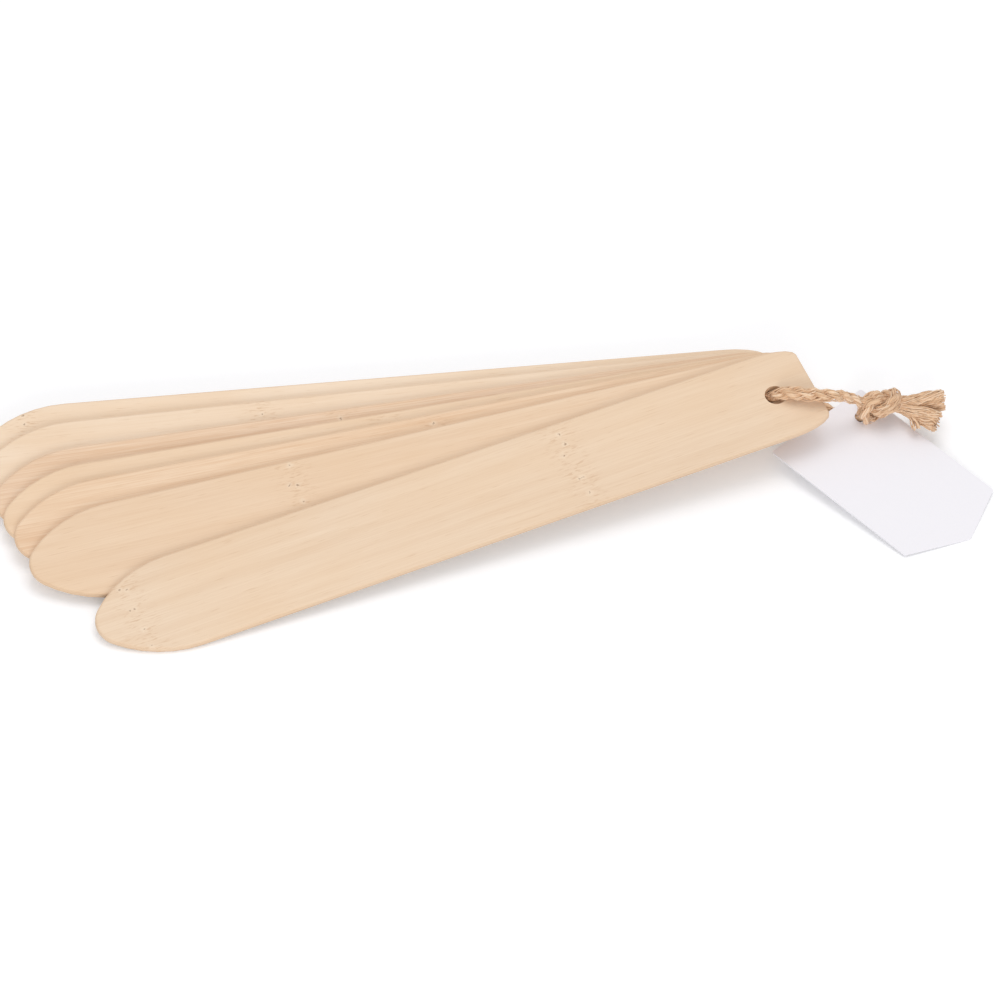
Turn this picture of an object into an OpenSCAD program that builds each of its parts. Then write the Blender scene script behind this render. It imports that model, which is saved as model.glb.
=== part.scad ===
// A bundle of seven bamboo plant label stakes, fanned out on a knotted jute twine with a card hang tag.
// Millimetres, +Z up. The origin is on the ground, below the hole of the bottom stake.
// The tips point to -X. The bundle stands on the twine under the holes and on its two outer tips.

/* [Stake] */
// Length of a stake, from the hole end to the tip
stake_l = 250; // [200:5:300]
// Width where the tip starts to narrow
stake_w = 33; // [28:0.5:38]
// Width at the hole end
neck_w = 31.6; // [26:0.2:38]
// Thickness of a stake
stake_t = 2.2; // [1.8:0.1:3]
// Length of the narrowing tip
tip_l = 28; // [22:1:45]
// Radius of the nose
nose_r = 8.5; // [5:0.5:11]
// How far along the sides the corners of the hole end are rounded
corner_l = 14; // [6:1:18]
// How far across the end the same corners are rounded
corner_w = 4.2; // [2:0.2:8]
// Radius of the eased edges
edge_r = 0.7; // [0.3:0.1:0.8]
// Diameter of the hole for the twine
hole_d = 6.8; // [6.4:0.2:9]
// Distance from the hole end to the middle of the hole
hole_in = 13; // [10:0.5:16]

/* [Fan] */
// Angle between the bottom and the top stake
fan_spread = 16; // [12:0.5:20]
// Gap between one stake and the next
stake_gap = 0.15; // [0.1:0.05:0.3]
// How much shorter the top stake is cut
top_short = 10; // [0:1:15]
// Gap between the twine on the ground and what lies on it
seat_gap = 0.3; // [0.2:0.05:0.5]

/* [Twine] */
// Diameter of the twine where it lies free
twine_d = 4; // [3.4:0.1:4.2]
// Diameter of the twine where the holes and the knot squeeze it
tight_d = 2.2; // [1.8:0.1:2.4]
// Diameter of a frayed end
fray_d = 7; // [5:0.5:7.5]
// Scale of the knot's three lobes
knot_r = 2; // [1.9:0.05:2.2]
// How far the strands of the knot rise and fall where they cross
knot_rise = 2.6; // [2.4:0.1:3]

/* [Tag] */
// Width of the card
tag_w = 41.5; // [36:0.5:50]
// Length of the card's straight side
tag_side = 55.5; // [50:0.5:62]
// Length of the card over its point
tag_l = 65; // [62:0.5:75]
// Thickness of the card
tag_t = 0.5; // [0.4:0.1:0.8]
// Radius of the card's corners
tag_r = 1; // [0.5:0.1:2]
// Diameter of the hole in the card
tag_hole_d = 5; // [4.6:0.2:6]
// Distance from the card's top and side edges to the middle of its hole
tag_hole_in = 8.5; // [6:0.5:10]

/* [Hidden] */
wood = ["#e3c7a0", "#ead1ae", "#d9b48e", "#e8ceaa", "#dcba95", "#ecd5b4", "#efdabb"];
jute = "#cfa878";
stakes = len(wood);
step = stake_t + stake_gap;
// Share of the fan's angle at which each stake lies, from the bottom stake to the top one
fan_share = [0, 0.1, 0.25, 0.35, 0.45, 0.6, 1];
// How far each stake's hole has slipped from the bottom one, to the hole end and to the back
slip_x = [0, 0.5, 1.5, 2.7, 4.2, 5.9, 7.7];
slip_y = [0, -2.7, -5.2, -7.4, -9.5, -11.7, -13.9];
// Where the middle of the card's hole lies on the ground plan, and how the card is turned
tag_at = [35.9, -20.4];
tag_turn = 28.5;
// Middle of the knot
knot_at = [41.5, -22, 8.8];
// Points of the twine's two free stretches and its ends: x, y, z and diameter
lower_route = [
    [39.4, -21.6, 8.2, tight_d], [37.4, -20.9, 6.7, tight_d], [36.1, -20.3, 4.6, tight_d],
    [35.5, -19.7, 3, tight_d], [34.2, -18.2, twine_d / 2, 3], [31, -14.8, twine_d / 2, twine_d],
    [25, -10.2, twine_d / 2, twine_d], [18, -5.6, twine_d / 2, twine_d], [10.5, -2.2, twine_d / 2, twine_d],
    [4.5, -0.7, twine_d / 2, 3.6], [1.2, -0.2, 3, 2.6]
];
upper_route = [
    [9.2, -18.5, 19.6, 3], [12.2, -20.6, 20.2, 3.8], [18, -22.8, 20, twine_d],
    [25, -24, 19.8, twine_d], [30, -22.8, 16.6, 3.8], [34.5, -20.4, 13.2, 3]
];
back_route = [
    [47, -17.8, 6.6, 3], [51, -19.2, 7.2, 4.4], [56, -21.2, 7.9, 5.8], [62, -23.4, 8.3, fray_d]
];
front_route = [
    [43.6, -22.4, 7.4, tight_d], [48, -24.3, 7.6, 3.4], [52, -26.7, 7.7, 5.2], [56.6, -30.2, 7.9, fray_d]
];
sides = 8;

// Outline of a stake

function arc(c, rx, ry, from, to, n) =
    [for (i = [0:n]) let (t = from + (to - from) * i / n) [c.x + rx * cos(t), c.y + ry * sin(t)]];
function length_of(k) = k == stakes - 1 ? stake_l - top_short : stake_l;
// Half of the outline, drawn in by e, for a stake of length l with its hole at the origin
function half_outline(l, e) =
    let (
        w = stake_w / 2,
        run = tip_l - nose_r,
        side_r = (run * run + w * w - nose_r * nose_r) / (2 * (w - nose_r)),
        turn = 180 - atan2(side_r - w, run),
        tip = hole_in - l,
        nose = [tip + nose_r, 0],
        side = [tip + tip_l, w - side_r],
        corner = [hole_in - corner_l, neck_w / 2 - corner_w]
    )
    concat(
        arc(nose, nose_r - e, nose_r - e, 180, turn, 5),
        arc(side, side_r - e, side_r - e, turn - 7, 90, 5),
        arc(corner, corner_l - e, corner_w - e, 90, 0, 5)
    );
function outline(l, e) =
    let (half = half_outline(l, e))
    concat([for (p = half) [p.x, -p.y]], [for (i = [len(half) - 1:-1:0]) if (half[i].y > 0) half[i]]);

// Lie of the fan: the plane through the twine's top under the hole and the two outer tips

function turned(p, a) = [p.x * cos(a) - p.y * sin(a), p.x * sin(a) + p.y * cos(a)];
function angle_of(k) = fan_spread * (fan_share[k] - 0.5);
function in_fan(k, p) = turned(p, angle_of(k)) + [slip_x[k], slip_y[k]];
function shoulder(k) = in_fan(k, [hole_in - length_of(k) + tip_l, -stake_w / 2]);
first = shoulder(0);
last = shoulder(stakes - 1);
rise_first = twine_d + seat_gap;
rise_last = rise_first + (stakes - 1) * step;
cross_first_last = first.x * last.y - last.x * first.y;
slope_x = (rise_last * first.y - rise_first * last.y) / cross_first_last;
slope_y = (rise_first * last.x - rise_last * first.x) / cross_first_last;
tilt_y = -atan(slope_x);
tilt_x = atan(slope_y * cos(tilt_y));
fan_normal = [sin(tilt_y) * cos(tilt_x), -sin(tilt_x), cos(tilt_y) * cos(tilt_x)];
function raised(p) = [
    p.x * cos(tilt_y) + (p.y * sin(tilt_x) + p.z * cos(tilt_x)) * sin(tilt_y),
    p.y * cos(tilt_x) - p.z * sin(tilt_x),
    -p.x * sin(tilt_y) + (p.y * sin(tilt_x) + p.z * cos(tilt_x)) * cos(tilt_y)
];
function underside(k) = [for (p = outline(length_of(k), edge_r)) raised(concat(in_fan(k, p), [k * step]))];
fan_lift = -min([for (k = [0:stakes - 1]) for (p = underside(k)) p.z]);
function hole_of(k, up) = raised([slip_x[k], slip_y[k], k * step + up]) + [0, 0, fan_lift];

module on_stake(k) {
    translate([0, 0, fan_lift])
        rotate([tilt_x, tilt_y, 0])
            translate([slip_x[k], slip_y[k], k * step])
                rotate(angle_of(k))
                    children();
}

// One flat stake with eased edges: outlines stacked from the underside to the top
module blank(l) {
    layers = [
        [0, edge_r], [edge_r * (1 - cos(45)), edge_r * (1 - sin(45))], [edge_r, 0],
        [stake_t - edge_r, 0], [stake_t - edge_r * (1 - cos(45)), edge_r * (1 - sin(45))], [stake_t, edge_r]
    ];
    loops = [for (layer = layers) [for (p = outline(l, layer[1])) [p.x, p.y, layer[0]]]];
    skin(loops);
}

// Closed solid through a stack of loops with the same number of points, counter-clockwise from the end
module skin(loops) {
    n = len(loops[0]);
    top = (len(loops) - 1) * n;
    walls = [
        for (j = [0:len(loops) - 2]) for (i = [0:n - 1])
            let (a = j * n + i, b = j * n + (i + 1) % n)
            each [[a, a + n, b], [b, a + n, b + n]]
    ];
    polyhedron(
        points = [for (loop = loops) each loop],
        faces = concat([[for (i = [0:n - 1]) i]], walls, [[for (i = [n - 1:-1:0]) top + i]])
    );
}

module stake(k) {
    color(wood[k])
        on_stake(k)
            difference() {
                blank(length_of(k));
                translate([0, 0, -1])
                    cylinder(h = stake_t + 2, d = hole_d, $fn = 48);
            }
}

// Twine: one cord, cut where it changes from lying free to being held

function unit(v) = v / norm(v);
function tangents(path) =
    [for (i = [0:len(path) - 1]) unit(path[min(i + 1, len(path) - 1)] - path[max(i - 1, 0)])];
function carried(t, side, i = 0) =
    i == len(t) ? [] : let (s = unit(side - (side * t[i]) * t[i])) concat([s], carried(t, s, i + 1));
function place(p) = [p[0], p[1], p[2]];
// Rings of a tube along a route of points with a diameter each
function rings(route) =
    let (
        path = [for (p = route) place(p)],
        t = tangents(path),
        s = carried(t, unit(cross(t[0], [0, 0, 1])))
    )
    [
        for (i = [0:len(path) - 1])
            [
                for (j = [0:sides - 1])
                    let (a = 360 * (j + 0.5) / sides)
                    path[i] + route[i][3] / 2 * (cos(a) * s[i] + sin(a) * cross(t[i], s[i]))
            ]
    ];

// The run through the holes: the underside, the middle of each stake, and the top
hole_route = concat(
    [concat(hole_of(0, 0), [tight_d])],
    [for (k = [0:stakes - 1]) concat(hole_of(k, stake_t / 2), [tight_d])],
    [concat(hole_of(stakes - 1, stake_t), [tight_d])]
);
// An overhand knot, opened at the back where the twine enters and leaves it
knot_turns = 26;
knot_open = 30;
knot_route = [
    for (i = [0:knot_turns])
        let (t = 540 - knot_open - (360 - 2 * knot_open) * i / knot_turns)
        [
            knot_at.x + knot_r * (sin(t) + 2 * sin(2 * t)),
            knot_at.y - knot_r * (cos(t) - 2 * cos(2 * t)),
            knot_at.z + knot_rise * sin(3 * t),
            tight_d
        ]
];
twine_rings = rings(concat(lower_route, hole_route, upper_route, knot_route, back_route));
run_from = len(lower_route);
run_to = run_from + len(hole_route) - 1;
knot_from = run_to + len(upper_route) + 1;
knot_to = knot_from + len(knot_route) - 1;

module twine(from, to) {
    color(jute)
        skin([for (i = [from:to]) twine_rings[i]]);
}

module front_tail() {
    color(jute)
        skin(rings(front_route));
}

// Card: it lies on the twine at its hole and on the ground at its point
module tag() {
    rise = twine_d + seat_gap;
    lean = asin(rise / (tag_l - tag_hole_in));
    right = tag_hole_in - tag_r;
    left = tag_hole_in - tag_w + tag_r;
    top = tag_hole_in - tag_r;
    shoulder = tag_hole_in - tag_side;
    point = tag_hole_in - tag_l + tag_r;
    corners = [[right, top], [left, top], [left, shoulder], [(left + right) / 2, point], [right, shoulder]];
    color("#f4f2f3")
        translate([tag_at.x, tag_at.y, rise])
            rotate([lean, 0, tag_turn])
                difference() {
                    linear_extrude(tag_t)
                        hull()
                            for (c = corners)
                                translate(c)
                                    circle(r = tag_r, $fn = 24);
                    translate([0, 0, -1])
                        cylinder(h = tag_t + 2, d = tag_hole_d, $fn = 32);
                }
}

stake(0);  // stake_1
stake(1);  // stake_2
stake(2);  // stake_3
stake(3);  // stake_4
stake(4);  // stake_5
stake(5);  // stake_6
stake(6);  // stake_7
twine(0, run_from);  // lower_leg
twine(run_from, run_to);  // hole_run
twine(run_to, knot_from);  // upper_leg
twine(knot_from, knot_to);  // knot
twine(knot_to, knot_to + len(back_route));  // back_tail
front_tail();
tag();
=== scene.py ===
import bpy
import math
from mathutils import Euler, Matrix, Vector


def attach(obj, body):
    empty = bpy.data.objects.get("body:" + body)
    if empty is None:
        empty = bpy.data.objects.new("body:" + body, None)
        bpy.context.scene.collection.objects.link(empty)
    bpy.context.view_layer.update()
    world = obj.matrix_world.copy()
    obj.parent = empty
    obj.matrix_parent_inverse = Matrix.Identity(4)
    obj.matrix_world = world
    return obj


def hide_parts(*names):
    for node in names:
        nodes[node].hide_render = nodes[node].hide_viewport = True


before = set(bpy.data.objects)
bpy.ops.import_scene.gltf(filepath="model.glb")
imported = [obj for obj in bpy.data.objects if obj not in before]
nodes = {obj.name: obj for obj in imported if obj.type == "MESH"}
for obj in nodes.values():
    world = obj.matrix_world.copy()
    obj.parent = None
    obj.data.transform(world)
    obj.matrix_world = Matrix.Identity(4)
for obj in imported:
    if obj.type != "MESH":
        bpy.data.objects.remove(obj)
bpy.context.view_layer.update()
mm = 0.001
print("frame loaded:", len(nodes), "nodes")


def linear(hexColour):
    # sRGB hex to the linear values that Blender's sockets take
    values = [int(hexColour[i:i + 2], 16) / 255 for i in (1, 3, 5)]
    return tuple(v / 12.92 if v <= 0.04045 else ((v + 0.055) / 1.055) ** 2.4 for v in values) + (1,)


def addNode(tree, kind, inputs=None, **settings):
    made = tree.nodes.new(kind)
    for name, value in settings.items():
        setattr(made, name, value)
    for key, value in (inputs or {}).items():
        if isinstance(value, bpy.types.NodeSocket):
            tree.links.new(value, made.inputs[key])
        else:
            made.inputs[key].default_value = value
    return made


def emptied(block):
    # a material's or a world's node tree, with nothing in it
    block.use_nodes = True
    block.node_tree.nodes.clear()
    return block.node_tree


def addObject(name, data):
    made = bpy.data.objects.new(name, data)
    bpy.context.scene.collection.objects.link(made)
    return made


# the camera stands at the photograph's place: degrees, and mm from the part's origin
view = {
    "azimuth": -19.06,
    "elevation": 44.63,
    "roll": 3.10,
    "distance": 1700,
    "target": (-85.9, -30.2, 8),
    "lens": 199.73,
    "sensor": 36,
    "farthest": 20,  # m
}


def placeCamera():
    turn, rise, roll = (math.radians(view[k]) for k in ("azimuth", "elevation", "roll"))
    right = Vector((math.cos(turn), math.sin(turn), 0))
    ahead = Vector((-math.sin(turn) * math.cos(rise), math.cos(turn) * math.cos(rise), -math.sin(rise)))
    up = right.cross(ahead)
    across = math.cos(roll) * right + math.sin(roll) * up
    upward = -math.sin(roll) * right + math.cos(roll) * up
    place = Matrix((across, upward, -ahead)).transposed().to_4x4()
    place.translation = (Vector(view["target"]) - ahead * view["distance"]) * mm
    data = bpy.data.cameras.new("camera")
    data.lens = view["lens"]
    data.sensor_width = view["sensor"]
    data.clip_end = view["farthest"]
    camera = addObject("camera", data)
    camera.matrix_world = place
    bpy.context.scene.camera = camera


placeCamera()
print("camera placed")


# how the fan lies: every stake's hole in mm and its turn in degrees, so that the grain runs along each stake
fan = {
    "lean": (11.851, -1.909),
    "stakes": {
        "stake_1": {"hole": (0, 0, 4.67), "turn": -8},
        "stake_2": {"hole": (0.44, -3.13, 6.43), "turn": -6.4},
        "stake_3": {"hole": (1.38, -6.05, 8.25), "turn": -4},
        "stake_4": {"hole": (2.52, -8.69, 10.14), "turn": -2.4},
        "stake_5": {"hole": (3.96, -11.23, 12.05), "turn": -0.8},
        "stake_6": {"hole": (5.59, -13.86, 13.96), "turn": 1.6},
        "stake_7": {"hole": (7.33, -16.5, 15.87), "turn": 8},
    },
}


def stakeFrame(name):
    lie = fan["stakes"][name]
    lean = Euler([math.radians(a) for a in fan["lean"]] + [0]).to_matrix().to_4x4()
    turn = Matrix.Rotation(math.radians(lie["turn"]), 4, "Z")
    return Matrix.Translation(Vector(lie["hole"]) * mm) @ lean @ turn


# two-ply jute: one cord through the holes, both of its ends drawn up in one overhand knot
# route points: x, y, z in mm and how thick the twine is there
twine = {
    "lower": [
        (34.2, -18.2, 2.3, 3.2), (31, -14.8, 2.3, 3.8), (25, -10.2, 2.3, 3.9), (18, -5.6, 2.3, 3.9),
        (10.5, -2.2, 2.3, 3.8), (4.5, -0.7, 2.4, 3.4), (1.2, -0.2, 3.2, 2.8), (0, 0, 4.8, 2.6),
    ],
    "toKnot": [(35.5, -19.8, 3.2, 2.6), (35.9, -20.3, 4.8, 2.4), (35.9, -20.4, 6.6, 2.6)],
    "holes": [
        (-0.04, -0.23, 5.75, 2.6), (0.4, -3.36, 7.5, 2.6), (1.34, -6.28, 9.33, 2.6), (2.48, -8.92, 11.2, 2.6),
        (3.92, -11.46, 13.13, 2.6), (5.55, -14.09, 15.04, 2.6), (7.1, -16.6, 17, 3.4),
    ],
    "upper": [
        (9.2, -18.3, 19.2, 4), (12.2, -19.9, 20.1, 4.4), (18, -22.1, 20.4, 4.2), (24.5, -23.3, 19.4, 4),
        (30, -22.5, 16.2, 3.7),
    ],
    "back": [(47.6, -20.8, 9.6, 2.8), (51, -20.6, 9.4, 2.6)],
    "front": [(47, -22, 8.9, 2.8), (50.4, -24, 8.7, 2.6)],
    "step": 0.85,  # mm between two points along it
    # pitches are metres for a full turn, reach is a share of the twine's radius, share, spread and waver are
    # shares of its diameter, and ragged is the share of its length that a strand may lack at the end
    "look": {"Plies": 2, "Strands": 30, "Ply Pitch": 0.0092, "Ply Reach": 0.42, "Strand Pitch": 0.016,
             "Strand Share": 0.06, "Spread": 0.26, "Waver": 0.07},
    "loose": {"Plies": 1, "Strands": 14, "Ply Pitch": 0.031, "Ply Reach": 0.2, "Strand Pitch": 0.023,
              "Strand Share": 0.03, "Spread": 0.5, "Waver": 0.2, "Ragged": 0.3},
    "looseSeed": 5.0,
    "strandSides": 5,
    "waves": (260, 3.7, 1),  # of the waver: per metre along, per strand and per seed
    "seeds": {"ends": 17, "turns": 11, "depths": 29, "tones": 5},
}


def smoothRoute(points, step):
    # Catmull-Rom through the points, resampled to even steps: x, y, z and thickness, in metres
    parts = 24
    p = [Vector(q) for q in points]
    p = [2 * p[0] - p[1]] + p + [2 * p[-1] - p[-2]]
    fine = []
    for i in range(1, len(p) - 2):
        for j in range(parts):
            t = j / parts
            fine.append(0.5 * (2 * p[i] + (p[i + 1] - p[i - 1]) * t
                               + (2 * p[i - 1] - 5 * p[i] + 4 * p[i + 1] - p[i + 2]) * t * t
                               + (3 * p[i] - 3 * p[i + 1] + p[i + 2] - p[i - 1]) * t ** 3))
    fine.append(p[-2])
    even, since = [fine[0]], 0
    for a, b in zip(fine, fine[1:]):
        since += (b.xyz - a.xyz).length
        if since >= step:
            even.append(b)
            since = 0
    return [tuple(v * mm for v in q) for q in even]


knot = {
    "centre": (40.4, -21.9, 10),
    "size": 3.9,  # mm from the middle of one strand pair to the next
    "pair": 1.1,  # half the distance between the two strands of a pair, in mm
    "girth": 3.4,
    "turn": (-43.7, 17.3, -40.3),  # degrees about x, y and z
    # a drawn-up overhand knot along +X, in units of its size
    "shape": [
        (-0.28, -0.05, -0.40), (0.25, -0.54, -0.41), (0.70, -0.79, 0.08), (0.92, -0.62, 0.72),
        (0.93, -0.39, 0.99), (0.75, 0.23, 1.27), (0.43, 0.82, 1.07), (0.13, 1.10, 0.49),
        (0.00, 1.00, -0.18), (-0.05, 0.96, -0.51), (-0.26, 0.67, -1.12), (-0.60, 0.09, -1.35),
        (-0.87, -0.50, -1.08), (-0.92, -0.83, -0.46), (-0.84, -0.85, -0.11), (-0.49, -0.59, 0.44),
        (0.01, -0.11, 0.56),
    ],
}


def knotRoute(side):
    # side 1 and side -1 are the two strands that lie next to each other
    lie = Euler([math.radians(a) for a in knot["turn"]]).to_matrix()
    at = [Vector(knot["centre"]) + lie @ Vector(q) * knot["size"] for q in knot["shape"]]
    beside, route = lie @ Vector((0, 1, 0)), []
    for i, q in enumerate(at):
        ahead = (at[min(i + 1, len(at) - 1)] - at[max(i - 1, 0)]).normalized()
        beside = (beside - ahead * beside.dot(ahead)).normalized()
        route.append(tuple(q + beside * side * knot["pair"]) + (knot["girth"],))
    return route


def curveFrom(name, route):
    data = bpy.data.curves.new(name, "CURVE")
    data.dimensions = "3D"
    spline = data.splines.new("POLY")
    spline.points.add(len(route) - 1)
    for point, (x, y, z, girth) in zip(spline.points, route):
        point.co = (x, y, z, 1)
        point.radius = girth / 2
    return addObject(name, data)


def strandTree():
    # twists many fine strands into plies, and the plies into a twine, along any curve
    tree = bpy.data.node_groups.new("twistedTwine", "GeometryNodeTree")
    tree.is_modifier = True
    tree.interface.new_socket("Curve", in_out="INPUT", socket_type="NodeSocketGeometry")
    for name, value in dict(twine["look"], Ragged=0.0, Phase=0.0, Seed=3.0).items():
        kind = "NodeSocketInt" if isinstance(value, int) else "NodeSocketFloat"
        tree.interface.new_socket(name, in_out="INPUT", socket_type=kind).default_value = value
    tree.interface.new_socket("Material", in_out="INPUT", socket_type="NodeSocketMaterial")
    tree.interface.new_socket("Mesh", in_out="OUTPUT", socket_type="NodeSocketGeometry")
    given = addNode(tree, "NodeGroupInput").outputs
    seeds = twine["seeds"]
    total = addNode(tree, "ShaderNodeMath", {0: given["Plies"], 1: given["Strands"]}, operation="MULTIPLY").outputs[0]
    copies = addNode(tree, "GeometryNodeDuplicateElements", {"Geometry": given["Curve"], "Amount": total},
                     domain="SPLINE")
    index = copies.outputs["Duplicate Index"]
    # each strand stops a little short of the end, by its own share
    short = addNode(tree, "FunctionNodeRandomValue", {"ID": index, "Seed": seeds["ends"]},
                    data_type="FLOAT").outputs[1]
    short = addNode(tree, "ShaderNodeMath", {0: short, 1: given["Ragged"]}, operation="MULTIPLY").outputs[0]
    reach = addNode(tree, "ShaderNodeMath", {0: 1.0, 1: short}, operation="SUBTRACT").outputs[0]
    trimmed = addNode(tree, "GeometryNodeTrimCurve", {"Curve": copies.outputs[0], "End": reach},
                      mode="FACTOR").outputs[0]
    along = addNode(tree, "GeometryNodeSplineParameter").outputs["Length"]
    girth = addNode(tree, "GeometryNodeInputRadius").outputs[0]
    tangent = addNode(tree, "GeometryNodeInputTangent").outputs[0]
    normal = addNode(tree, "GeometryNodeInputNormal").outputs[0]
    # where the middle of the strand's ply lies
    ply = addNode(tree, "ShaderNodeMath", {0: index, 1: given["Plies"]}, operation="MODULO").outputs[0]
    plyPart = addNode(tree, "ShaderNodeMath", {0: ply, 1: given["Plies"]}, operation="DIVIDE").outputs[0]
    plyTurns = addNode(tree, "ShaderNodeMath", {0: along, 1: given["Ply Pitch"]}, operation="DIVIDE").outputs[0]
    plyTurns = addNode(tree, "ShaderNodeMath", {0: plyTurns, 1: given["Phase"]}, operation="ADD").outputs[0]
    plyTurns = addNode(tree, "ShaderNodeMath", {0: plyTurns, 1: plyPart}, operation="ADD").outputs[0]
    plyAngle = addNode(tree, "ShaderNodeMath", {0: plyTurns, 1: math.tau}, operation="MULTIPLY").outputs[0]
    plyOut = addNode(tree, "ShaderNodeVectorRotate", {"Vector": normal, "Axis": tangent, "Angle": plyAngle},
                     rotation_type="AXIS_ANGLE").outputs[0]
    plyReach = addNode(tree, "ShaderNodeMath", {0: girth, 1: given["Ply Reach"]}, operation="MULTIPLY").outputs[0]
    plyOffset = addNode(tree, "ShaderNodeVectorMath", {0: plyOut, "Scale": plyReach}, operation="SCALE").outputs[0]
    # where the strand lies in its ply, which is twisted the other way
    strandTurns = addNode(tree, "ShaderNodeMath", {0: along, 1: given["Strand Pitch"]}, operation="DIVIDE").outputs[0]
    strandStart = addNode(tree, "FunctionNodeRandomValue", {"ID": index, "Seed": seeds["turns"]},
                          data_type="FLOAT").outputs[1]
    strandTurns = addNode(tree, "ShaderNodeMath", {0: strandStart, 1: strandTurns}, operation="SUBTRACT").outputs[0]
    strandAngle = addNode(tree, "ShaderNodeMath", {0: strandTurns, 1: math.tau}, operation="MULTIPLY").outputs[0]
    strandOut = addNode(tree, "ShaderNodeVectorRotate", {"Vector": normal, "Axis": tangent, "Angle": strandAngle},
                        rotation_type="AXIS_ANGLE").outputs[0]
    # depth is how far out it lies, and the root spreads the strands evenly over the ply's section
    depth = addNode(tree, "FunctionNodeRandomValue", {2: 0.3, 3: 1.0, "ID": index, "Seed": seeds["depths"]},
                    data_type="FLOAT").outputs[1]
    depth = addNode(tree, "ShaderNodeMath", {0: depth, 1: 0.5}, operation="POWER").outputs[0]
    strandReach = addNode(tree, "ShaderNodeMath", {0: girth, 1: given["Spread"]}, operation="MULTIPLY").outputs[0]
    strandReach = addNode(tree, "ShaderNodeMath", {0: strandReach, 1: 2.0}, operation="MULTIPLY").outputs[0]
    strandReach = addNode(tree, "ShaderNodeMath", {0: strandReach, 1: depth}, operation="MULTIPLY").outputs[0]
    strandOffset = addNode(tree, "ShaderNodeVectorMath", {0: strandOut, "Scale": strandReach},
                           operation="SCALE").outputs[0]
    offset = addNode(tree, "ShaderNodeVectorMath", {0: plyOffset, 1: strandOffset}, operation="ADD").outputs[0]
    # a slow waver lifts single strands off the ply
    wander = addNode(tree, "ShaderNodeCombineXYZ", {"X": along, "Y": index, "Z": given["Seed"]}).outputs[0]
    wander = addNode(tree, "ShaderNodeVectorMath", {0: wander, 1: twine["waves"]}, operation="MULTIPLY").outputs[0]
    wander = addNode(tree, "ShaderNodeTexNoise", {"Vector": wander, "Scale": 1.0, "Detail": 1.0},
                     noise_dimensions="3D").outputs["Color"]
    wander = addNode(tree, "ShaderNodeVectorMath", {0: wander, 1: (0.5, 0.5, 0.5)}, operation="SUBTRACT").outputs[0]
    wanderReach = addNode(tree, "ShaderNodeMath", {0: girth, 1: given["Waver"]}, operation="MULTIPLY").outputs[0]
    wanderReach = addNode(tree, "ShaderNodeMath", {0: wanderReach, 1: 4.0}, operation="MULTIPLY").outputs[0]
    wander = addNode(tree, "ShaderNodeVectorMath", {0: wander, "Scale": wanderReach}, operation="SCALE").outputs[0]
    offset = addNode(tree, "ShaderNodeVectorMath", {0: offset, 1: wander}, operation="ADD").outputs[0]
    # what the material and the tube read, stored before the curve moves
    tone = addNode(tree, "FunctionNodeRandomValue", {"ID": index, "Seed": seeds["tones"]},
                   data_type="FLOAT").outputs[1]
    thickness = addNode(tree, "ShaderNodeMath", {0: girth, 1: given["Strand Share"]}, operation="MULTIPLY").outputs[0]
    thickness = addNode(tree, "ShaderNodeMath", {0: thickness, 1: 2.0}, operation="MULTIPLY").outputs[0]
    laid = trimmed
    for name, value in (("strandTone", tone), ("strandAlong", along), ("strandThick", thickness)):
        laid = addNode(tree, "GeometryNodeStoreNamedAttribute", {"Geometry": laid, "Name": name, "Value": value},
                       data_type="FLOAT", domain="POINT").outputs[0]
    moved = addNode(tree, "GeometryNodeSetPosition", {"Geometry": laid, "Offset": offset}).outputs[0]
    thick = addNode(tree, "GeometryNodeInputNamedAttribute", {"Name": "strandThick"}, data_type="FLOAT").outputs[0]
    moved = addNode(tree, "GeometryNodeSetCurveRadius", {"Curve": moved, "Radius": thick}).outputs[0]
    ring = addNode(tree, "GeometryNodeCurvePrimitiveCircle", {"Resolution": twine["strandSides"], "Radius": 1.0},
                   mode="RADIUS").outputs[0]
    strandRadius = addNode(tree, "GeometryNodeInputRadius").outputs[0]
    tube = addNode(tree, "GeometryNodeCurveToMesh", {"Curve": moved, "Profile Curve": ring, "Scale": strandRadius,
                                                     "Fill Caps": True}).outputs[0]
    smooth = addNode(tree, "GeometryNodeSetShadeSmooth", {0: tube, "Shade Smooth": True}).outputs[0]
    real = addNode(tree, "GeometryNodeRealizeInstances", {0: smooth}).outputs[0]
    dressed = addNode(tree, "GeometryNodeSetMaterial", {"Geometry": real, "Material": given["Material"]}).outputs[0]
    addNode(tree, "NodeGroupOutput", {0: dressed})
    return tree


def runTree(piece, tree, values, name):
    # sets the inputs by their identifiers, evaluates, and keeps a plain mesh
    grow = piece.modifiers.new("grow", "NODES")
    grow.node_group = tree
    for item in tree.interface.items_tree:
        if item.item_type == "SOCKET" and item.in_out == "INPUT" and item.name in values:
            grow[item.identifier] = values[item.name]
    bpy.context.view_layer.update()
    ready = piece.evaluated_get(bpy.context.evaluated_depsgraph_get())
    mesh = bpy.data.meshes.new_from_object(ready)
    mesh.name = name
    made = addObject(name, mesh)
    bpy.data.objects.remove(piece)
    print(name, "made:", len(mesh.polygons), "faces")
    return made


spun = {
    "patches": (240, 60, 1),  # of colour: per metre along a strand, about 4 mm each, and from strand to strand
    "dark": "#d2aa85",
    "middle": "#eac6a2",
    "pale": "#f6dabd",
    "roughness": 0.75,
    "specular": 0.25,
    "sheen": 0.25,
    "sheenRoughness": 0.5,
}


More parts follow.
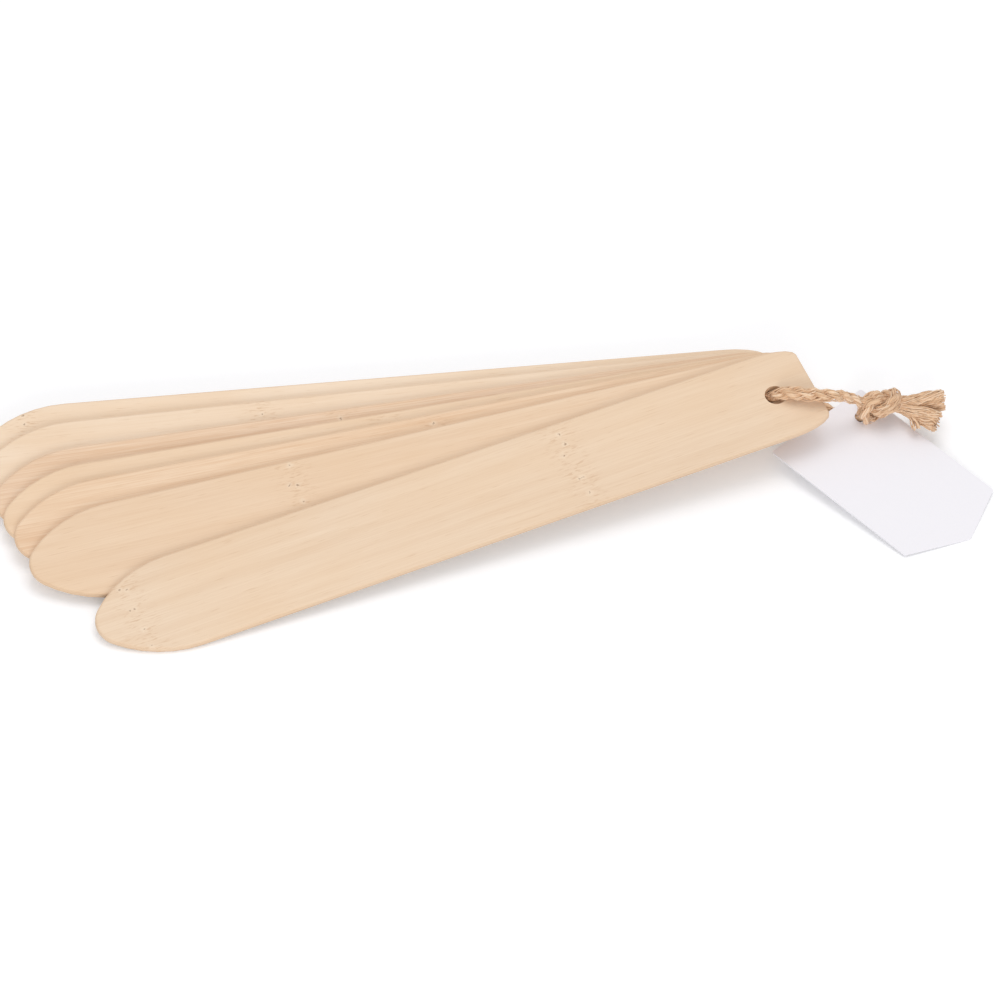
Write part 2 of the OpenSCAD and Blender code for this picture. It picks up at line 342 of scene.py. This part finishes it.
def juteMaterial():
    # retted jute fibre, spun and plied: dull, pale golden, no two strands of the same tone
    material = bpy.data.materials.new("spunJute")
    tree = emptied(material)
    tone = addNode(tree, "ShaderNodeAttribute", attribute_name="strandTone").outputs["Fac"]
    along = addNode(tree, "ShaderNodeAttribute", attribute_name="strandAlong").outputs["Fac"]
    place = addNode(tree, "ShaderNodeCombineXYZ", {"X": along, "Y": tone}).outputs[0]
    place = addNode(tree, "ShaderNodeVectorMath", {0: place, 1: spun["patches"]}, operation="MULTIPLY").outputs[0]
    patches = addNode(tree, "ShaderNodeTexNoise", {"Vector": place, "Scale": 1.0, "Detail": 3.0}).outputs["Fac"]
    mixed = addNode(tree, "ShaderNodeMath", {0: patches, 1: tone}, operation="ADD").outputs[0]
    mixed = addNode(tree, "ShaderNodeMath", {0: mixed, 1: 0.5}, operation="MULTIPLY").outputs[0]
    ramp = addNode(tree, "ShaderNodeValToRGB", {"Fac": mixed})
    stops = ramp.color_ramp.elements
    for i, at, colour in ((0, 0.25, "dark"), (1, 0.75, "pale")):
        stops[i].position = at
        stops[i].color = linear(spun[colour])
    stops.new(0.5).color = linear(spun["middle"])
    shader = addNode(tree, "ShaderNodeBsdfPrincipled", {
        "Base Color": ramp.outputs[0], "Roughness": spun["roughness"], "Specular IOR Level": spun["specular"],
        "Sheen Weight": spun["sheen"], "Sheen Roughness": spun["sheenRoughness"]})
    addNode(tree, "ShaderNodeOutputMaterial", {"Surface": shader.outputs[0]})
    return material


jute = juteMaterial()
strands = strandTree()


def layTwine(name, route, phase):
    path = smoothRoute(route, twine["step"])
    look = dict(twine["look"], Phase=phase, Material=jute)
    stray = dict(twine["loose"], Seed=twine["looseSeed"] + phase, Material=jute)
    laid = runTree(curveFrom(name + "Line", path), strands, look, name)
    fluff = runTree(curveFrom(name + "FluffLine", path), strands, stray, name + "Fluff")
    return laid, fluff, [q[:3] for q in path]


upperRoute = twine["holes"] + twine["upper"] + knotRoute(side=1) + twine["back"]
lowerRoute = list(reversed(twine["lower"])) + twine["toKnot"] + knotRoute(side=-1) + twine["front"]
upperTwine, upperFluff, upperPath = layTwine("upperTwine", upperRoute, phase=0.0)
lowerTwine, lowerFluff, lowerPath = layTwine("lowerTwine", lowerRoute, phase=0.3)


# both ends are cut with scissors and have unravelled into a broad tuft each
# droop is where a few strands hang out of the front one
fray = {
    "back": [
        (45.5, -22.5, 9.7, 3.4), (48, -22.9, 9.7, 4.4), (52, -23, 9.5, 5.6), (56.3, -23.2, 9.1, 6.8),
        (61.5, -23.8, 8.8, 8),
    ],
    "front": [
        (45.4, -22.9, 9.1, 3.4), (47.7, -24, 8.9, 4.2), (50.4, -26.6, 8.7, 5.4), (53.3, -28.9, 8.4, 6.6),
        (56.8, -32.2, 8, 7.6),
    ],
    "droop": [(47.2, -25.5, 8.4, 1.6), (49, -28, 8.2, 2.2), (49.5, -30.6, 7.4, 3), (49.5, -32.8, 6, 3.6)],
    "step": 0.8,
    "look": {"Plies": 1, "Strands": 250, "Ply Pitch": 1.0, "Ply Reach": 0.0, "Strand Pitch": 0.07,
             "Strand Share": 0.029, "Spread": 0.43, "Waver": 0.14, "Ragged": 0.15},
    "few": {"Plies": 1, "Strands": 16, "Ply Pitch": 1.0, "Ply Reach": 0.0, "Strand Pitch": 0.07,
            "Strand Share": 0.07, "Spread": 0.43, "Waver": 0.25, "Ragged": 0.4},
}


def layFray(name, route, look, seed):
    line = curveFrom(name + "Line", smoothRoute(route, fray["step"]))
    return runTree(line, strands, dict(look, Seed=seed, Material=jute), name)


backFray = layFray("backFray", fray["back"], fray["look"], seed=7.0)
frontFray = layFray("frontFray", fray["front"], fray["look"], seed=9.0)
droopFray = layFray("droopFray", fray["droop"], fray["few"], seed=4.0)

for piece in (upperTwine, lowerTwine, upperFluff, lowerFluff, backFray, frontFray, droopFray):
    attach(piece, "bottom_stake")
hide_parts("hole_run", "upper_leg", "knot")
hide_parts("lower_leg")
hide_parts("back_tail")
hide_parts("front_tail")


print("twine laid")


# pale is between the fibres, deep is the fibres, streak is how strongly they show
# nodes are where the culm had a node, pits where its fibres tore out: mm from the hole, along and across
bamboo = {
    # stake_1 and stake_2 are paler than the rest: partly their own tone, partly painted light that brightens their
    # narrow strips where the stakes in front shade them
    "stake_1": {"pale": "#fae6cf", "deep": "#f2dabe", "streak": 0.3, "nodes": [-221.5],
                "pits": [(-222, 13.1), (-221.3, 6.1), (-222, 9.7), (-148.4, 5.9)]},
    "stake_2": {"pale": "#fae6cf", "deep": "#efd6ba", "streak": 0.35, "nodes": [-149.5], "pits": [(-149.3, 11.1)]},
    "stake_3": {"pale": "#f5dcc3", "deep": "#e3bf9f", "streak": 0.8, "nodes": [-126.5], "pits": [(-126.5, 12.6)]},
    "stake_4": {"pale": "#f5dcc0", "deep": "#e8c9a8", "streak": 0.35, "nodes": [-115.3], "pits": []},
    "stake_5": {"pale": "#f6dcc0", "deep": "#e6c2a0", "streak": 0.75, "nodes": [-102], "pits": [(-101.9, 12.5)]},
    "stake_6": {"pale": "#f2d9be", "deep": "#e5c6a7", "streak": 0.45, "nodes": [-151],
                "pits": [(-150.7, 14.5), (-150.7, 0.8), (-152.9, 7.5), (-150.5, 6.8)]},
    "stake_7": {"pale": "#f2dcc3", "deep": "#e4c8ab", "streak": 0.42, "nodes": [-214.3, -69.3],
                "pits": [(-215.6, 9.8), (-213.8, 9.1), (-215.6, 1.9), (-213.9, 1.8), (-214.2, -5.7), (-214.4, -11.9),
                         (-69, 11.7), (-68.7, 7.9), (-71, 4.1), (-69.7, -5.6), (-68.8, -5.4), (-69.2, -11.3)]},
}
# noise drawn out along the fibres: sizes in mm along and across the stake, from which noise to which it tints,
# and how strongly, which for the fibres is the stake's own streak
grain = {
    "fibres": {"along": 22, "across": 0.42, "detail": 3, "rough": 0.6, "from": (0.36, 0.66)},
    "bands": {"along": 120, "across": 3.2, "detail": 2, "rough": 0.5, "from": (0.35, 0.7), "to": 0.45},
    "clouds": {"along": 38, "across": 22, "detail": 2, "rough": 0.5, "from": (0.35, 0.7), "to": 0.3,
               "colour": "#ebc9a4"},
    "dashes": {"along": 7, "across": 0.4, "detail": 1, "rough": 0.4, "from": (0.66, 0.8), "to": 0.42,
               "colour": "#cda67f"},
    "scars": {"along": 2.6, "across": 0.55, "detail": 2, "rough": 0.5, "from": (0.54, 0.68), "to": 0.48,
              "colour": "#cba27b"},
}
# each mark fades from its near to its far distance, in mm
marks = {
    "broken": {"near": 2, "far": 8, "share": 1.0},  # from a node, and it lets the scars show
    "halo": {"near": 0.4, "far": 1.4, "share": 0.5, "colour": "#f8e6cf"},  # from a pit
    "pit": {"near": 0.2, "far": 0.5, "share": 0.8, "colour": "#94735a"},
    # this mark darkens the cut sides of a stake: partly end grain, partly painted shade
    "edgeGrainAndShade": {"near": 0.75, "far": 1.08, "share": 0.35, "colour": "#d6b18c"},  # from the middle of the thickness
}
sanded = {
    "thickness": 2.2,  # of a stake, in mm
    "shift": (0.37, 0.11, 0),  # m from one stake's grain to the next one's
    "ragged": 900.0,  # noise per metre that makes a pit's outline uneven
    "raggedReach": 2,  # mm
    "roughness": 0.58,
    "specular": 0.35,
    "bump": 0.25,
    "bumpDepth": 0.05,  # mm
}


def bambooMaterial(name, seed):
    # moso bamboo strip, planed and sanded: matt, with straight fibres a few tenths of a millimetre apart
    look = bamboo[name]
    material = bpy.data.materials.new("sandedBamboo" + name[-1])
    tree = emptied(material)
    lie = stakeFrame(name)
    coords = addNode(tree, "ShaderNodeTexCoord")
    # x runs along the stake from its hole, y across it, z through it, in metres
    own = addNode(tree, "ShaderNodeMapping", {"Vector": coords.outputs["Object"], "Location": lie.translation,
                                              "Rotation": lie.to_euler()}, vector_type="TEXTURE").outputs[0]
    shift = tuple(seed * v for v in sanded["shift"])
    seeded = addNode(tree, "ShaderNodeVectorMath", {0: own, 1: shift}, operation="ADD").outputs[0]
    noise, share = {}, {}
    for layer, size in grain.items():
        perMetre = (1000 / size["along"], 1000 / size["across"], 1000 / size["across"])
        scaled = addNode(tree, "ShaderNodeVectorMath", {0: seeded, 1: perMetre}, operation="MULTIPLY").outputs[0]
        noise[layer] = addNode(tree, "ShaderNodeTexNoise", {
            "Vector": scaled, "Scale": 1.0, "Detail": size["detail"], "Roughness": size["rough"]}).outputs["Fac"]
        share[layer] = addNode(tree, "ShaderNodeMapRange", {
            "Value": noise[layer], "From Min": size["from"][0], "From Max": size["from"][1],
            "To Min": 0.0, "To Max": size.get("to", look["streak"])}).outputs[0]
    factor = addNode(tree, "ShaderNodeMath", {0: share["fibres"], 1: share["bands"]}, operation="ADD").outputs[0]
    base = addNode(tree, "ShaderNodeMix", {0: factor, 6: linear(look["pale"]), 7: linear(look["deep"])},
                   data_type="RGBA").outputs[2]
    for layer in ("clouds", "dashes"):
        base = addNode(tree, "ShaderNodeMix", {0: share[layer], 6: base, 7: linear(grain[layer]["colour"])},
                       data_type="RGBA").outputs[2]
    # fibres bend and break for a few millimetres on both sides of a node
    place = addNode(tree, "ShaderNodeSeparateXYZ", {0: own}).outputs
    away = None
    for at in look["nodes"]:
        gap = addNode(tree, "ShaderNodeMath", {0: place["X"], 1: at * mm}, operation="SUBTRACT").outputs[0]
        gap = addNode(tree, "ShaderNodeMath", {0: gap}, operation="ABSOLUTE").outputs[0]
        away = gap if away is None else addNode(tree, "ShaderNodeMath", {0: away, 1: gap},
                                                operation="MINIMUM").outputs[0]
    mark = marks["broken"]
    beside = addNode(tree, "ShaderNodeMapRange", {
        "Value": away, "From Min": mark["near"] * mm, "From Max": mark["far"] * mm,
        "To Min": mark["share"], "To Max": 0.0}).outputs[0]
    scarred = addNode(tree, "ShaderNodeMath", {0: share["scars"], 1: beside}, operation="MULTIPLY").outputs[0]
    base = addNode(tree, "ShaderNodeMix", {0: scarred, 6: base, 7: linear(grain["scars"]["colour"])},
                   data_type="RGBA").outputs[2]
    # at some nodes the plane tore fibres out of the upper face: a dark pit with a pale halo
    if look["pits"]:
        ragged = addNode(tree, "ShaderNodeTexNoise", {"Vector": own, "Scale": sanded["ragged"],
                                                      "Detail": 2.0}).outputs["Color"]
        ragged = addNode(tree, "ShaderNodeVectorMath", {0: ragged, 1: (0.5, 0.5, 0.5)},
                         operation="SUBTRACT").outputs[0]
        ragged = addNode(tree, "ShaderNodeVectorMath", {0: ragged, "Scale": sanded["raggedReach"] * mm},
                         operation="SCALE").outputs[0]
        torn = addNode(tree, "ShaderNodeVectorMath", {0: own, 1: ragged}, operation="ADD").outputs[0]
        near = None
        for x, y in look["pits"]:
            at = (x * mm, y * mm, sanded["thickness"] * mm)
            gap = addNode(tree, "ShaderNodeVectorMath", {0: torn, 1: at}, operation="DISTANCE").outputs["Value"]
            near = gap if near is None else addNode(tree, "ShaderNodeMath", {0: near, 1: gap},
                                                    operation="MINIMUM").outputs[0]
        for mark in (marks["halo"], marks["pit"]):
            spot = addNode(tree, "ShaderNodeMapRange", {
                "Value": near, "From Min": mark["near"] * mm, "From Max": mark["far"] * mm,
                "To Min": mark["share"], "To Max": 0.0}).outputs[0]
            base = addNode(tree, "ShaderNodeMix", {0: spot, 6: base, 7: linear(mark["colour"])},
                           data_type="RGBA").outputs[2]
    # the cut sides are darker than the faces: partly the end grain's own tone, partly painted shade along the rims
    fromMiddle = addNode(tree, "ShaderNodeMath", {0: place["Z"], 1: sanded["thickness"] / 2 * mm},
                         operation="SUBTRACT").outputs[0]
    fromMiddle = addNode(tree, "ShaderNodeMath", {0: fromMiddle}, operation="ABSOLUTE").outputs[0]
    mark = marks["edgeGrainAndShade"]
    edgeGrainAndShade = addNode(tree, "ShaderNodeMapRange", {
        "Value": fromMiddle, "From Min": mark["near"] * mm, "From Max": mark["far"] * mm,
        "To Min": mark["share"], "To Max": 0.0}).outputs[0]
    base = addNode(tree, "ShaderNodeMix", {0: edgeGrainAndShade, 6: base, 7: linear(mark["colour"])}, data_type="RGBA").outputs[2]
    bump = addNode(tree, "ShaderNodeBump", {"Strength": sanded["bump"], "Distance": sanded["bumpDepth"] * mm,
                                            "Height": noise["fibres"]}).outputs[0]
    shader = addNode(tree, "ShaderNodeBsdfPrincipled", {
        "Base Color": base, "Roughness": sanded["roughness"], "Specular IOR Level": sanded["specular"],
        "Normal": bump})
    addNode(tree, "ShaderNodeOutputMaterial", {"Surface": shader.outputs[0]})
    return material


def dress(name, material):
    nodes[name].data.materials.clear()
    nodes[name].data.materials.append(material)


for seed, name in enumerate(bamboo):
    dress(name, bambooMaterial(name, seed + 1))
print("bamboo done")


card = {
    "tooth": 0.4,  # mm between the bumps of the coating
    "bump": 0.08,
    "bumpDepth": 0.03,  # mm
    "low": "#f3f1f6",
    "high": "#f7f5fa",
    "roughness": 0.45,
    "specular": 0.4,
}


def cardMaterial():
    # coated white board, die cut: even and cool white, with a very slight satin
    material = bpy.data.materials.new("coatedCard")
    tree = emptied(material)
    coords = addNode(tree, "ShaderNodeTexCoord").outputs["Object"]
    tooth = addNode(tree, "ShaderNodeTexNoise", {"Vector": coords, "Scale": 1000 / card["tooth"],
                                                 "Detail": 2.0}).outputs["Fac"]
    bump = addNode(tree, "ShaderNodeBump", {"Strength": card["bump"], "Distance": card["bumpDepth"] * mm,
                                            "Height": tooth}).outputs[0]
    tint = addNode(tree, "ShaderNodeMix", {0: tooth, 6: linear(card["low"]), 7: linear(card["high"])},
                   data_type="RGBA").outputs[2]
    shader = addNode(tree, "ShaderNodeBsdfPrincipled", {
        "Base Color": tint, "Roughness": card["roughness"], "Specular IOR Level": card["specular"], "Normal": bump})
    addNode(tree, "ShaderNodeOutputMaterial", {"Surface": shader.outputs[0]})
    return material


dress("tag", cardMaterial())
print("card done")


# a pale floor, an even room, a broad lamp above and behind, and one low in front that shades the stakes' back edges
studio = {
    "floor": 3.0,  # half its width, in m
    "paper": "#f2f2f4",
    "world": 0.64,
    "lift": 0.22,  # how much whiter the camera sees the floor
    "aim": (-0.08, -0.01, 0),  # what the lamps face, in m
    "lamps": {
        "lowFront": {"at": (-0.5, -1.5, 0.6), "size": 0.6, "watts": 8},
        "highBack": {"at": (0.1, 0.3, 1.5), "size": 1, "watts": 6.3},
    },
}


def seenRays(tree):
    # 1 for what the camera sees, straight or in gloss and glass
    path = addNode(tree, "ShaderNodeLightPath").outputs
    seen = addNode(tree, "ShaderNodeMath", {0: path["Is Camera Ray"], 1: path["Is Glossy Ray"]},
                   operation="MAXIMUM").outputs[0]
    return addNode(tree, "ShaderNodeMath", {0: seen, 1: path["Is Transmission Ray"]}, operation="MAXIMUM").outputs[0]


def buildStudio():
    half = studio["floor"]
    mesh = bpy.data.meshes.new("floor")
    mesh.from_pydata([(-half, -half, 0), (half, -half, 0), (half, half, 0), (-half, half, 0)], [], [(0, 1, 2, 3)])
    floor = addObject("floor", mesh)
    material = bpy.data.materials.new("whitePaperSweep")
    tree = emptied(material)
    paper = addNode(tree, "ShaderNodeBsdfDiffuse", {"Color": linear(studio["paper"])}).outputs[0]
    lift = addNode(tree, "ShaderNodeEmission", {"Color": linear("#ffffff"), "Strength": studio["lift"]}).outputs[0]
    lifted = addNode(tree, "ShaderNodeAddShader", {0: paper, 1: lift}).outputs[0]
    shown = addNode(tree, "ShaderNodeMixShader", {0: seenRays(tree), 1: paper, 2: lifted}).outputs[0]
    addNode(tree, "ShaderNodeOutputMaterial", {"Surface": shown})
    mesh.materials.append(material)
    world = bpy.data.worlds.new("softRoom")
    tree = emptied(world)
    room = addNode(tree, "ShaderNodeBackground", {"Color": linear("#ffffff"), "Strength": studio["world"]}).outputs[0]
    white = addNode(tree, "ShaderNodeBackground", {"Color": linear("#ffffff"), "Strength": 1.0}).outputs[0]
    shown = addNode(tree, "ShaderNodeMixShader", {0: seenRays(tree), 1: room, 2: white}).outputs[0]
    addNode(tree, "ShaderNodeOutputWorld", {"Surface": shown})
    bpy.context.scene.world = world
    for name, lamp in studio["lamps"].items():
        data = bpy.data.lights.new(name, "AREA")
        data.size = lamp["size"]
        data.energy = lamp["watts"]
        made = addObject(name, data)
        made.location = lamp["at"]
        made.rotation_euler = (Vector(studio["aim"]) - Vector(lamp["at"])).to_track_quat("-Z", "Y").to_euler()
    bpy.context.scene.view_settings.view_transform = "Standard"


buildStudio()
print("studio built")
